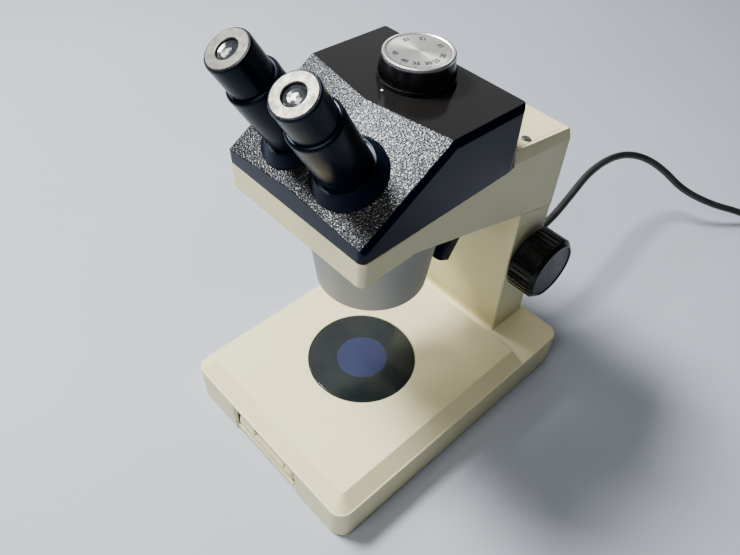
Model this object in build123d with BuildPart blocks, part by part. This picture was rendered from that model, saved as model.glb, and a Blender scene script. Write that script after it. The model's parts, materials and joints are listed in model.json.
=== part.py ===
"""Zoom stereo microscope on a lit stand, as an assembly of separate pieces.

Millimetres, +Z up. The origin is the middle of the footprint, on the table. The user sits at -Y.
The viewing axis is vertical and passes through (0, OPT_Y), the middle of the stage plate.
"""

from build123d import *
from math import atan, cos, degrees, pi, radians, sin, sqrt, tan
import os

os.makedirs("parts", exist_ok=True)

# ---- driving dimensions -----------------------------------------------------------------------
OPT_Y = -28.3  # the viewing axis, forward of the middle of the base

BASE_W, BASE_D, BASE_R = 207.0, 291.4, 13.0
HOUSING_Z = 2.0  # underside of the base housing
RIM_Z = 38.6  # top of the base's side walls
DECK_Z = 49.4  # working surface round the stage plate
WALL = 3.0
DECK_W, DECK_FRONT, DECK_BACK = 180.0, OPT_Y - 103.3, OPT_Y + 112.2
STAGE_R, STAGE_T, GLASS_R = 50.0, 4.0, 23.3

ROLLER_X, ROLLER_R = 39.0, 16.0  # half length and radius of the light roller
ROLLER_Y, ROLLER_Z = -BASE_D / 2 + 16.1, 18.4
SCREW_SPOTS = [(-92, -80), (92, -80), (-92, 85), (92, 85)]
FOOT_SPOTS = [(-82, -120), (82, -120), (-82, 122), (82, 122)]
BOWL_Z = 10.0  # underside of the mirror bowl under the stage

SEAM_Z, SEAM_Y, SEAM_SLOPE = 208.1, OPT_Y + 108.3, -0.35  # split between head and column
COL_LEAN = 0.0985  # the column leans forward by this much for each mm of height
COL_DEPTH = 46.0
SEAM_GAP = 0.4

PINION = (OPT_Y + 136.9, 144.4)  # focus shaft, as (y, z)
SHAFT_R, PINION_R, RACK_MODULE = 4.0, 8.0, 1.0
KNOB_R, KNOB_IN, KNOB_OUT = 29.6, 66.5, 92.5
KNOB_RIBS = 34
ROD_X, ROD_Y, ROD_R = 34.0, OPT_Y + 128.4, 3.5
FOCUS_TRAVEL = 35.0

BAND_Z, BELLY_Z = 274.2, 253.0  # top and bottom of the head's side band
HEAD_FRONT, COVER_BACK = OPT_Y - 69.9, OPT_Y + 76.2
TOP_W, TOP_Z = 66.2, 328.2  # half width and height of the cover's flat top
NOSE_Y, NOSE_Z = OPT_Y + 7.2, 165.0  # middle and lower end of the nosepiece

ZOOM_Y = OPT_Y + 41.6
DRUM_Y, GEAR_R = OPT_Y + 14.0, 13.4
BENCH_Z, BENCH_TOP = 206.0, 258.0  # lower and upper plates of the optics bench

TURRET_X, TURRET_Y = 26.2, OPT_Y - 42.2
FACE_SLOPE, FACE_FALL = 0.59, 0.108  # rise of the eyepiece face towards +Y, and its fall sideways
TUBE_X, TUBE_Y = 25.0, OPT_Y - 41.6  # where each tube's axis meets the eyepiece face
TUBE_SPLAY, TUBE_LEAN = 0.061, 0.568  # the tubes stand a little steeper than their turrets
TUBE_FOOT, TUBE_TOP, TUBE_R = 7.0, 59.2, 18.35
EYE_TOP = 85.5  # eye ring above the eyepiece face

CORD_R = 4.1
RELIEF_START = (22.5, 137.3, 84.1)
FIRST_BEND = (28.6, 202.3, 100.4)
RELIEF_L = 38.0
COIL_X, COIL_Y, COIL_OUT, COIL_IN = 219.0, 466.0, 55.8, 37.8
ENTRY_DEG, EXIT_DEG = 110.0, -20.0


def half_width(y, z):
    """Half width of the head and the column, whose side is one flat drafted face."""
    return 69.2 - 0.012 * (y - OPT_Y) - 0.0484 * (BAND_Z - z)


def col_front(z):
    return SEAM_Y + COL_LEAN * (SEAM_Z - z)


def seam_z(y):
    return SEAM_Z + SEAM_SLOPE * (y - SEAM_Y)


def face_z(x, y):
    """Height of the cover's sloping eyepiece face."""
    return 330.0 + FACE_SLOPE * (y - OPT_Y + 5.4) - FACE_FALL * abs(x)


relief_dir = (Vector(*FIRST_BEND) - Vector(*RELIEF_START)).normalized()
relief_end = Vector(*RELIEF_START) + relief_dir * RELIEF_L


def save(piece, name):
    """Label one finished piece and write it as its own file."""
    piece.part.label = name
    export_step(piece.part, f"parts/{name}.step")


def turned(origin, axis, *profiles):
    """A piece turned about an axis; each profile is a closed outline of (radius, height) points."""
    along = Vector(*axis).normalized()
    across = along.cross(Vector(1, 0, 0) if abs(along.X) < 0.9 else Vector(0, 1, 0)).normalized()
    with BuildPart() as piece:
        with BuildSketch(Plane(origin=origin, x_dir=across, z_dir=across.cross(along))):
            for profile in profiles:
                with BuildLine():
                    Polyline(*profile, close=True)
                make_face()
        revolve(axis=Axis(origin, along))
    return piece


def ring_profile(inner, outer, low, high):
    return [(inner, low), (outer, low), (outer, high), (inner, high)]


# ---- base ---------------------------------------------------------------------------------------
def base_block(inset, low, high):
    """The base's walls as a block, pulled in on every side."""
    with BuildPart() as block:
        with BuildSketch(Plane.XY.offset(low)):
            RectangleRounded(BASE_W - 2 * inset, BASE_D - 2 * inset, BASE_R - inset)
        extrude(amount=high - low)
    return block.part


deck_mid = (DECK_FRONT + DECK_BACK) / 2
deck_len = DECK_BACK - DECK_FRONT
BEVEL_Z = RIM_Z - 1.2  # foot of the deck's bevel, on the side walls


def deck_outline(side, front_y, back_y, front_r, back_r):
    """One section through the raised deck, with its own radii at the front and the back."""
    with BuildSketch(mode=Mode.PRIVATE) as outline:
        with BuildLine():
            Polyline((-side, front_y), (side, front_y), (side, back_y), (-side, back_y), close=True)
        make_face()
        fillet(outline.vertices().group_by(Axis.Y)[0], radius=front_r)
        fillet(outline.vertices().group_by(Axis.Y)[-1], radius=back_r)
    return outline.sketch



with BuildPart() as base_housing:
    add(base_block(0, HOUSING_Z, RIM_Z))
    rim_edges = base_housing.faces().sort_by(Axis.Z)[-1].edges()
    fillet(rim_edges, radius=1.2)
    with BuildSketch(Plane.XY.offset(BEVEL_Z)):
        add(deck_outline(BASE_W / 2 - 0.05, 0.05 - BASE_D / 2, DECK_BACK + 4, BASE_R, 3.0))
    with BuildSketch(Plane.XY.offset(DECK_Z)):
        add(deck_outline(DECK_W / 2, DECK_FRONT, DECK_BACK, 2.0, 2.0))
    loft()
    add(base_block(WALL, HOUSING_Z - 1, RIM_Z - WALL), mode=Mode.SUBTRACT)
    with BuildSketch(Plane.XY.offset(RIM_Z - WALL - 0.5)):
        with Locations((0, deck_mid)):
            Rectangle(DECK_W - 14, deck_len - 14)
    extrude(amount=DECK_Z - RIM_Z + 0.5, mode=Mode.SUBTRACT)
    with BuildSketch(Plane.XY.offset(DECK_Z - STAGE_T - WALL)):
        with Locations((0, OPT_Y)):
            Circle(STAGE_R + 6)
    extrude(amount=STAGE_T)
    with Locations((0, OPT_Y, DECK_Z)):
        CounterBoreHole(
            radius=STAGE_R - 5, counter_bore_radius=STAGE_R + 0.4, counter_bore_depth=STAGE_T, depth=20
        )
    # front window for the light roller, with slanted ends, and the low sill under it
    front = -BASE_D / 2
    with BuildSketch(Plane.XY.offset(6.0)):
        with BuildLine():
            Polyline((-45, front - 1), (45, front - 1), (40, front + 8), (-40, front + 8), close=True)
        make_face()
    extrude(amount=RIM_Z - 2.6 - 6.0, mode=Mode.SUBTRACT)
    with BuildSketch(Plane.XY.offset(HOUSING_Z - 1)):
        with Locations((0, front)):
            Rectangle(86, 2.0)
    extrude(amount=6.0, mode=Mode.SUBTRACT)
    with BuildSketch(Plane.YZ.offset(-40)):
        with BuildLine():
            Polyline(
                (front + 1.0, HOUSING_Z + 1.4),
                (front + 1.0, 7.0),
                (front + 1.8, 8.0),
                (front + 3.3, 8.0),
                (front + 5.3, 5.6),
                (front + 5.3, HOUSING_Z + 1.4),
                close=True,
            )
        make_face()
    extrude(amount=80)
    # way for the wires up into the column
    with BuildSketch(Plane.XY.offset(RIM_Z - 10)):
        with Locations((0, col_front(RIM_Z) + COL_DEPTH / 2)):
            Rectangle(60, 20)
    extrude(amount=12, mode=Mode.SUBTRACT)
    # screw bosses that reach down to the bottom plate
    with BuildSketch(Plane.XY.offset(HOUSING_Z + 2.5)):
        with Locations(*SCREW_SPOTS):
            Circle(5)
    extrude(amount=RIM_Z - WALL - HOUSING_Z - 2.4)
    with BuildSketch(Plane.XY.offset(HOUSING_Z)):
        with Locations(*SCREW_SPOTS):
            Circle(1.85)
    extrude(amount=14, mode=Mode.SUBTRACT)
save(base_housing, "base_housing")

with BuildPart() as bottom_plate:
    add(base_block(WALL + 0.3, HOUSING_Z, HOUSING_Z + 2.5))
    with BuildSketch(Plane.XY.offset(HOUSING_Z - 1)):
        with Locations((0, -BASE_D / 2 + 15)):
            Rectangle(96, 40)
        with Locations(*[(x, 60) for x in range(-48, 49, 12)]):
            SlotOverall(40, 4, rotation=90)
        with Locations(*FOOT_SPOTS):
            Circle(4.1)
        with Locations(*SCREW_SPOTS):
            Circle(1.9)
    extrude(amount=6, mode=Mode.SUBTRACT)
save(bottom_plate, "bottom_plate")

with BuildPart() as rubber_feet:
    with BuildSketch(Plane.XY):
        with Locations(*FOOT_SPOTS):
            Circle(9)
    extrude(amount=HOUSING_Z)
    with BuildSketch(Plane.XY.offset(HOUSING_Z)):
        with Locations(*FOOT_SPOTS):
            Circle(4)
    extrude(amount=4)
    chamfer(rubber_feet.edges().group_by(Axis.Z)[0], length=0.8)
save(rubber_feet, "rubber_feet")

with BuildPart() as base_screws:
    for spot in SCREW_SPOTS:
        with BuildSketch(Plane.XY.offset(0.6)):
            with Locations(spot):
                Circle(3.2)
        extrude(amount=HOUSING_Z - 0.6)
        with BuildSketch(Plane.XY.offset(HOUSING_Z)):
            with Locations(spot):
                Circle(1.8)
        extrude(amount=10)
        with BuildSketch(Plane.XY.offset(0.5)):
            with Locations(spot):
                Rectangle(4.6, 0.9)
                Rectangle(0.9, 4.6)
        extrude(amount=1.0, mode=Mode.SUBTRACT)
save(base_screws, "base_screws")

with BuildPart() as roller_bezel:
    with BuildSketch(Plane.XY.offset(6.2)):
        with Locations((0, front + 20.7)):
            Rectangle(94, 35)
    extrude(amount=RIM_Z - WALL - 6.5)
    with BuildSketch(Plane.XY.offset(0)):
        with Locations((0, front + 17.5)):
            Rectangle(2 * ROLLER_X + 5, 36)
    extrude(amount=60, mode=Mode.SUBTRACT)
    with BuildSketch(Plane.XY.offset(0)):
        with BuildLine():
            Polyline((-45, front - 1), (45, front - 1), (40, front + 8), (-40, front + 8), close=True)
        make_face()
    extrude(amount=60, mode=Mode.SUBTRACT)
    with BuildSketch(Plane.YZ.offset(-47)):
        with Locations((ROLLER_Y, ROLLER_Z)):
            Circle(2.05)
    extrude(amount=94, mode=Mode.SUBTRACT)
save(roller_bezel, "roller_bezel")

with BuildPart() as light_roller:
    with BuildSketch(Plane.XY.offset(ROLLER_Z)):
        with BuildLine():
            top = ROLLER_Y + ROLLER_R
            edge_of_barrel = ThreePointArc(
                (4 - ROLLER_X, top - 0.4), (0, top), (ROLLER_X - 4, top - 0.4)
            )
            right_end = ThreePointArc(
                edge_of_barrel @ 1, (ROLLER_X - 1.2, top - 1.6), (ROLLER_X, top - 4.2)
            )
            left_end = ThreePointArc(
                (-ROLLER_X, top - 4.2), (1.2 - ROLLER_X, top - 1.6), edge_of_barrel @ 0
            )
            Polyline(
                right_end @ 1,
                (ROLLER_X, ROLLER_Y + 2),
                (ROLLER_X + 6, ROLLER_Y + 2),
                (ROLLER_X + 6, ROLLER_Y),
                (-ROLLER_X - 6, ROLLER_Y),
                (-ROLLER_X - 6, ROLLER_Y + 2),
                (-ROLLER_X, ROLLER_Y + 2),
                left_end @ 0,
            )
        make_face()
    revolve(axis=Axis((0, ROLLER_Y, ROLLER_Z), (1, 0, 0)))
save(light_roller, "light_roller")

# ---- stage and its lamp -------------------------------------------------------------------------
stage_low = DECK_Z - STAGE_T
stage_plate = turned(
    (0, OPT_Y, 0),
    (0, 0, 1),
    [
        (GLASS_R + 0.05, stage_low + 1.5),
        (GLASS_R + 0.05, DECK_Z),
        (STAGE_R - 0.8, DECK_Z),
        (STAGE_R, DECK_Z - 0.8),
        (STAGE_R, stage_low),
        (GLASS_R - 2, stage_low),
        (GLASS_R - 2, stage_low + 1.5),
    ],
)
save(stage_plate, "stage_plate")
stage_glass = turned((0, OPT_Y, 0), (0, 0, 1), ring_profile(0, GLASS_R, stage_low + 1.5, DECK_Z))
save(stage_glass, "stage_glass")

with BuildPart() as mirror_bowl:
    with BuildSketch(Plane(origin=(0, OPT_Y, 0), x_dir=(1, 0, 0), z_dir=(0, -1, 0))):
        with BuildLine():
            inside = ThreePointArc((9, BOWL_Z + 2), (28, BOWL_Z + 11), (38, BOWL_Z + 30))
            Polyline(inside @ 1, (40, BOWL_Z + 30), (40, BOWL_Z + 27))
            outside = ThreePointArc((40, BOWL_Z + 27), (30.5, BOWL_Z + 9), (9, BOWL_Z))
            Line(outside @ 1, inside @ 0)
        make_face()
    revolve(axis=Axis((0, OPT_Y, 0), (0, 0, 1)))
save(mirror_bowl, "mirror_bowl")

bulb_socket = turned(
    (0, OPT_Y, 0),
    (0, 0, 1),
    [(0, 4.5), (16, 4.5), (16, 7), (12, 7), (12, 10), (8.5, 10), (8.5, 14), (4, 14), (4, 8), (0, 8)],
)
save(bulb_socket, "bulb_socket")
stage_bulb = turned(
    (0, OPT_Y, 0),
    (0, 0, 1),
    [
        (0, 8),
        (3.9, 8),
        (3.9, BOWL_Z + 5),
        (6, BOWL_Z + 8),
        (6, BOWL_Z + 15),
        (2, BOWL_Z + 19),
        (0, BOWL_Z + 19),
    ],
)
save(stage_bulb, "stage_bulb")

TRANSFORMER_Y = 88.0
with BuildPart() as transformer:
    with BuildSketch(Plane.XY.offset(4.5)):
        with Locations((-42, TRANSFORMER_Y)):
            Rectangle(62, 52)
    extrude(amount=2)
    with BuildSketch(Plane.XY.offset(6.5)):
        with Locations((-42, TRANSFORMER_Y)):
            Rectangle(54, 18)
    extrude(amount=27)
    with BuildSketch(Plane.XY.offset(10)):
        with Locations((-42, TRANSFORMER_Y)):
            RectangleRounded(34, 40, 6)
    extrude(amount=20)
save(transformer, "transformer")


# ---- column and focus drive ---------------------------------------------------------------------
def column_slice(z, inset, outset_y=0.0):
    """Outline of the column at one height, pulled in on every side."""
    front_y, back_y = col_front(z) + inset, col_front(z) + COL_DEPTH - inset
    return [
        (-half_width(front_y, z) + inset + outset_y, front_y),
        (half_width(front_y, z) - inset - outset_y, front_y),
        (half_width(back_y, z) - inset - outset_y, back_y),
        (-half_width(back_y, z) + inset + outset_y, back_y),
    ]


def column_block(low, high, inset, more_side=0.0, corner=1.5):
    with BuildPart() as block:
        for z in (low, high):
            with BuildSketch(Plane.XY.offset(z)) as outline:
                with BuildLine():
                    Polyline(*column_slice(z, inset, more_side), close=True)
                make_face()
                fillet(outline.vertices(), radius=corner)
        loft()
    return block.part


def seam_cutter(shift, above):
    """A block above or below the sloping split between head and column."""
    reach = 140.0
    low_y, high_y = SEAM_Y - reach, SEAM_Y + reach
    far = 400.0 if above else -400.0
    with BuildPart() as block:
        with BuildSketch(Plane.YZ.offset(-150)):
            with BuildLine():
                Polyline(
                    (low_y, seam_z(low_y) + shift),
                    (high_y, seam_z(high_y) + shift),
                    (high_y, far),
                    (low_y, far),
                    close=True,
                )
            make_face()
        extrude(amount=300)
    return block.part


RECESS_FLOOR = 60.0
with BuildPart() as column:
    add(column_block(RIM_Z, 216, 0))
    # the flare where the column stands on the base
    for z, grow in ((RIM_Z, 1.0), (RIM_Z + 1.6, 0.0)):
        with BuildSketch(Plane.XY.offset(z)) as foot:
            with BuildLine():
                Polyline(*column_slice(z, -grow), close=True)
            make_face()
            fillet(foot.vertices(), radius=1.5 + grow)
    loft()
    add(column_block(RIM_Z - 1, 217, 3.5, 2.5), mode=Mode.SUBTRACT)
    add(seam_cutter(-SEAM_GAP, True), mode=Mode.SUBTRACT)
    # round pockets that the focus knobs turn in
    for side in (1, -1):
        with BuildSketch(Plane.YZ.offset(side * RECESS_FLOOR)):
            with Locations(PINION):
                Circle(20.5)
        extrude(amount=side * 20, mode=Mode.SUBTRACT)
    # bearing bores for the focus shaft
    with BuildSketch(Plane.YZ.offset(-80)):
        with Locations(PINION):
            Circle(7.0)
    extrude(amount=160, mode=Mode.SUBTRACT)
    # shelves that hold the guide rods
    for z in (70.0, 120.0):
        with BuildSketch(Plane.XY.offset(z)):
            with Locations((0, ROD_Y)):
                Rectangle(98, 10)
        extrude(amount=7)
        with BuildSketch(Plane.XY.offset(z)):
            for side in (1, -1):
                with Locations((side * 52, OPT_Y + 131)):
                    Rectangle(10, 14)
        extrude(amount=7)
    with BuildSketch(Plane.XY.offset(60)):
        with Locations((-ROD_X, ROD_Y), (ROD_X, ROD_Y)):
            Circle(ROD_R)
    extrude(amount=100, mode=Mode.SUBTRACT)
    # cord outlet
    with BuildSketch(Plane(origin=RELIEF_START, z_dir=relief_dir)):
        Circle(6.0)
    extrude(amount=6, mode=Mode.SUBTRACT)
    with BuildSketch(Plane(origin=RELIEF_START, z_dir=relief_dir)):
        Circle(6.0)
    extrude(amount=-12, mode=Mode.SUBTRACT)
column.part = column.part.solids().sort_by(SortBy.VOLUME)[-1]
save(column, "column")

with BuildPart() as guide_rods:
    with BuildSketch(Plane.XY.offset(64)):
        with Locations((-ROD_X, ROD_Y), (ROD_X, ROD_Y)):
            Circle(ROD_R)
    extrude(amount=198)
    chamfer(guide_rods.edges().group_by(Axis.Z)[-1], length=0.6)
save(guide_rods, "guide_rods")

with BuildPart() as shaft_bushes:
    for side in (1, -1):
        with BuildSketch(Plane.YZ.offset(side * 52.0)):
            with Locations(PINION):
                Circle(7.0)
                Circle(SHAFT_R + 0.04, mode=Mode.SUBTRACT)
        extrude(amount=side * (RECESS_FLOOR - 52.0))
save(shaft_bushes, "shaft_bushes")

with BuildPart() as focus_shaft:
    with BuildSketch(Plane.YZ.offset(-KNOB_OUT + 6)):
        with Locations(PINION):
            Circle(SHAFT_R)
    extrude(amount=2 * (KNOB_OUT - 6))
    chamfer(focus_shaft.edges().filter_by(GeomType.CIRCLE), length=0.5)
save(focus_shaft, "focus_shaft")


def gear_outline(teeth, tip_r, root_r):
    """A toothed wheel's outline as straight flanks between tip and root."""
    points = []
    for tooth in range(teeth):
        middle = 2 * pi * tooth / teeth
        for radius, share in ((root_r, -0.29), (tip_r, -0.13), (tip_r, 0.13), (root_r, 0.29)):
            angle = middle + share * 2 * pi / teeth
            points.append((radius * cos(angle), radius * sin(angle)))
    return points


with BuildPart() as focus_pinion:
    with BuildSketch(Plane(origin=(-6, *PINION), x_dir=(0, 1, 0), z_dir=(1, 0, 0))):
        with BuildLine():
            Polyline(*gear_outline(16, PINION_R + 0.6, PINION_R - 1.2), close=True)
        make_face()
        Circle(SHAFT_R, mode=Mode.SUBTRACT)
    extrude(amount=12)
save(focus_pinion, "focus_pinion")

RACK_LOW, RACK_HIGH = 100.0, 222.0
RACK_Y = PINION[0] + PINION_R + 0.9  # its tooth tips, just clear of the pinion
tooth_pitch = 2 * pi * PINION_R / 16
with BuildPart() as focus_rack:
    with BuildSketch(Plane.XY.offset(RACK_LOW)):
        with Locations((0, RACK_Y + 1.7)):
            Rectangle(9, 3.4)
    extrude(amount=RACK_HIGH - RACK_LOW)
    first = PINION[1] - 13.5 * tooth_pitch
    with BuildSketch(Plane.YZ.offset(-5.5)):
        for step in range(34):
            z = first + step * tooth_pitch
            if RACK_LOW + 1.5 < z < RACK_HIGH - 15:
                with Locations((RACK_Y, z)):
                    Rectangle(2.4, 0.55 * tooth_pitch)
    extrude(amount=11, mode=Mode.SUBTRACT)
save(focus_rack, "focus_rack")

with BuildPart() as knob_collars:
    for side in (1, -1):
        with BuildSketch(Plane.YZ.offset(side * (RECESS_FLOOR + 0.3))):
            with Locations(PINION):
                Circle(20)
                Circle(SHAFT_R, mode=Mode.SUBTRACT)
        extrude(amount=side * (KNOB_IN - RECESS_FLOOR - 0.3))
save(knob_collars, "knob_collars")

for side, tag in ((1, "right"), (-1, "left")):
    with BuildPart() as focus_knob:
        with BuildSketch(Plane.YZ.offset(side * KNOB_IN)):
            with Locations(PINION):
                Circle(KNOB_R - 1.0)
                Circle(SHAFT_R, mode=Mode.SUBTRACT)
        extrude(amount=side * 26.0)
        outer = focus_knob.faces().sort_by(Axis.X)[-1 if side > 0 else 0].edges().sort_by(Edge.length)[-1]
        chamfer(outer, length=3.2)
        with BuildSketch(Plane.YZ.offset(side * (KNOB_IN + 0.4))):
            with Locations(PINION):
                with PolarLocations(KNOB_R - 1.4, KNOB_RIBS):
                    Rectangle(2.8, 3.0)
        extrude(amount=side * 21.2)
        with BuildSketch(Plane.YZ.offset(side * KNOB_OUT)):
            with Locations(PINION):
                Circle(KNOB_R - 5.4)
        extrude(amount=-side * 2.4, mode=Mode.SUBTRACT)
        with BuildSketch(Plane.YZ.offset(side * (KNOB_OUT - 5.9))):
            with Locations(PINION):
                Circle(SHAFT_R)
        extrude(amount=side * 8, mode=Mode.SUBTRACT)
        with BuildSketch(Plane.YZ.offset(side * (KNOB_IN - 1))):
            with Locations(PINION):
                Circle(12)
                Circle(SHAFT_R + 2, mode=Mode.SUBTRACT)
        extrude(amount=side * 6, mode=Mode.SUBTRACT)
    save(focus_knob, f"focus_knob_{tag}")
    with BuildPart() as knob_cap:
        with BuildSketch(Plane.YZ.offset(side * (KNOB_OUT - 2.4))):
            with Locations(PINION):
                Circle(KNOB_R - 5.4)
        extrude(amount=side * 1.7)
        chamfer(knob_cap.edges().group_by(Axis.X)[-1 if side > 0 else 0], length=0.5)
    save(knob_cap, f"knob_cap_{tag}")


# ---- head housing -------------------------------------------------------------------------------
PLATE_FRONT, PLATE_RISE = OPT_Y + 77.3, -0.18
PLATE_TOP_FRONT = 286.4
BEVEL_IN, BEVEL_DROP = 2.8, 10.2  # steep bevel along the arm's top edges


def arm_top(y):
    return PLATE_TOP_FRONT + PLATE_RISE * (y - PLATE_FRONT)


def head_block(inset, side_inset, top_open):
    """The head's outer shape or, pulled in, its hollow."""
    belly_kink = OPT_Y - 19.7
    with BuildPart() as block:
        for z in (185.0, 290.0):
            with BuildSketch(Plane.XY.offset(z)) as outline:
                fy, by = HEAD_FRONT + inset, OPT_Y + 165
                with BuildLine():
                    Polyline(
                        (-half_width(fy, z) + side_inset, fy),
                        (half_width(fy, z) - side_inset, fy),
                        (half_width(by, z) - side_inset, by),
                        (-half_width(by, z) + side_inset, by),
                        close=True,
                    )
                make_face()
                fillet(outline.vertices().group_by(Axis.Y)[0], radius=5.0 - inset * 0.8)
        loft()
        lift = inset * 1.05
        heel_y = SEAM_Y + (COL_DEPTH - inset - COL_LEAN * lift) / (1 + COL_LEAN * SEAM_SLOPE)
        if top_open:
            top = [(col_front(300) + COL_DEPTH - inset, 300), (HEAD_FRONT - 5, 300)]
        else:
            back_z = arm_top(OPT_Y + 148.0)
            top = [
                (col_front(back_z) + COL_DEPTH, back_z),
                (PLATE_FRONT, arm_top(PLATE_FRONT)),
                (PLATE_FRONT, BAND_Z),
                (HEAD_FRONT - 5, BAND_Z),
            ]
        with BuildSketch(Plane.YZ.offset(-100)):
            with BuildLine():
                Polyline(
                    (HEAD_FRONT - 5, BELLY_Z + lift),
                    (belly_kink, BELLY_Z + lift),
                    (heel_y, seam_z(heel_y) + lift),
                    *top,
                    close=True,
                )
            make_face()
        extrude(amount=200, mode=Mode.INTERSECT)
    return block.part


def head_side_bevel():
    """Wedges that bevel the long top edges of the arm behind the cover."""
    cuts = []
    low, high = PLATE_FRONT, OPT_Y + 160
    for side in (1, -1):
        with BuildPart() as wedge:
            for y in (low, high):
                w, z = half_width(y, 276), arm_top(y)
                with BuildSketch(Plane(origin=(0, y, 0), x_dir=(1, 0, 0), z_dir=(0, -1, 0))):
                    with BuildLine():
                        Polyline(
                            (side * (w - BEVEL_IN * 1.01), z + 0.01 * BEVEL_DROP),
                            (side * (w + 6), z + 0.01 * BEVEL_DROP),
                            (side * (w + 6), z - 1.4 * BEVEL_DROP),
                            (side * (w + 0.4 * BEVEL_IN), z - 1.4 * BEVEL_DROP),
                            close=True,
                        )
                    make_face()
            loft()
        cuts.append(wedge.part)
    return cuts


turret_axis_right = Vector(FACE_FALL, -FACE_SLOPE, 1).normalized()
SLIDE_W, SLIDE_LOW, SLIDE_HIGH = 96.4, OPT_Y + 119.0, OPT_Y + 151.0  # sleeve between head and column
slide_mid = (SLIDE_LOW + SLIDE_HIGH) / 2
slide_d = SLIDE_HIGH - SLIDE_LOW
LAMP_TILT = 30.0
lamp_down = Vector(0, -sin(radians(LAMP_TILT)), -cos(radians(LAMP_TILT)))
lamp_mouth = Vector(0, OPT_Y + 64.2, 159.3)
lamp_plane = Plane(origin=lamp_mouth, x_dir=(1, 0, 0), z_dir=lamp_down * -1)

plate_plane = Plane(
    origin=(0, PLATE_FRONT, arm_top(PLATE_FRONT)), x_dir=(1, 0, 0), z_dir=(0, -PLATE_RISE, 1)
)
SCREW_AT = (58.4, 22.5)  # the small screw, from the plate's front edge


def plate_block(grow, low, high):
    """The cover plate's tapering outline, grown or shrunk, between two heights over the arm."""
    with BuildPart() as block:
        with BuildSketch(plate_plane.offset(low)) as outline:
            with BuildLine():
                Polyline(
                    (-63.9 - grow, 3.0 - grow),
                    (63.9 + grow, 3.0 - grow),
                    (61.9 + grow, 65.5 + grow),
                    (-61.9 - grow, 65.5 + grow),
                    close=True,
                )
            make_face()
            fillet(outline.vertices(), radius=2.2 if grow > -4 else 5.0)
        extrude(amount=high - low)
    return block.part


with BuildPart() as head_housing:
    add(head_block(0, 0, False))
    for wedge in head_side_bevel():
        add(wedge, mode=Mode.SUBTRACT)
    add(head_block(WALL, WALL, True), mode=Mode.SUBTRACT)
    # roof over the rear, left open under the arm's own cover plate
    roof = head_block(0, 1.5, False)
    with BuildPart(mode=Mode.PRIVATE) as roof_slab:
        add(roof)
        with BuildSketch(Plane.YZ.offset(-100)):
            with BuildLine():
                Polyline(
                    (PLATE_FRONT, arm_top(PLATE_FRONT) + 1),
                    (OPT_Y + 165, arm_top(OPT_Y + 165) + 1),
                    (OPT_Y + 165, arm_top(OPT_Y + 165) - 6),
                    (PLATE_FRONT, arm_top(PLATE_FRONT) - 6),
                    close=True,
                )
            make_face()
        extrude(amount=200, mode=Mode.INTERSECT)
        for wedge in head_side_bevel():
            add(wedge, mode=Mode.SUBTRACT)
    add(roof_slab.part)
    # seat and opening for the arm's cover plate
    for trim, drop in ((0, 2.5), (9, 12)):
        add(plate_block(-trim, -drop, 5), mode=Mode.SUBTRACT)
    # light path down through the nosepiece, way in for the column's slide, slot for the lamp
    with BuildSketch(Plane.XY.offset(150)):
        with Locations((0, NOSE_Y)):
            Circle(44)
    extrude(amount=112, mode=Mode.SUBTRACT)
    with BuildSketch(Plane.XY.offset(150)):
        with Locations((0, slide_mid)):
            Rectangle(SLIDE_W + 0.4, slide_d + 0.4)
    extrude(amount=80, mode=Mode.SUBTRACT)
    with BuildSketch(lamp_plane.offset(20)):
        RectangleRounded(60.2, 19.2, 5.1)
    extrude(amount=70, mode=Mode.SUBTRACT)
    with BuildSketch(plate_plane):
        with Locations(SCREW_AT):
            Circle(2.05)
    extrude(amount=-12, mode=Mode.SUBTRACT)
head_housing.part = head_housing.part.solids().sort_by(SortBy.VOLUME)[-1]
save(head_housing, "head_housing")

with BuildPart() as arm_cover:
    add(plate_block(-0.25, -2.5, 0))
    top_edges = arm_cover.faces().sort_by(Axis.Z)[-1].edges()
    fillet(top_edges, radius=0.4)
    with BuildSketch(plate_plane.offset(1)):
        with Locations(SCREW_AT):
            Circle(2.1)
    extrude(amount=-6, mode=Mode.SUBTRACT)
save(arm_cover, "arm_cover")

screw_spot = plate_plane.from_local_coords((*SCREW_AT, 0))
cover_screw = turned(
    screw_spot,
    (0, -PLATE_RISE, 1),
    [(0, -7), (2.0, -7), (2.0, 0), (3.6, 0), (3.6, 0.9), (3.0, 1.3), (0, 1.3)],
)
save(cover_screw, "cover_screw")

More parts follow.
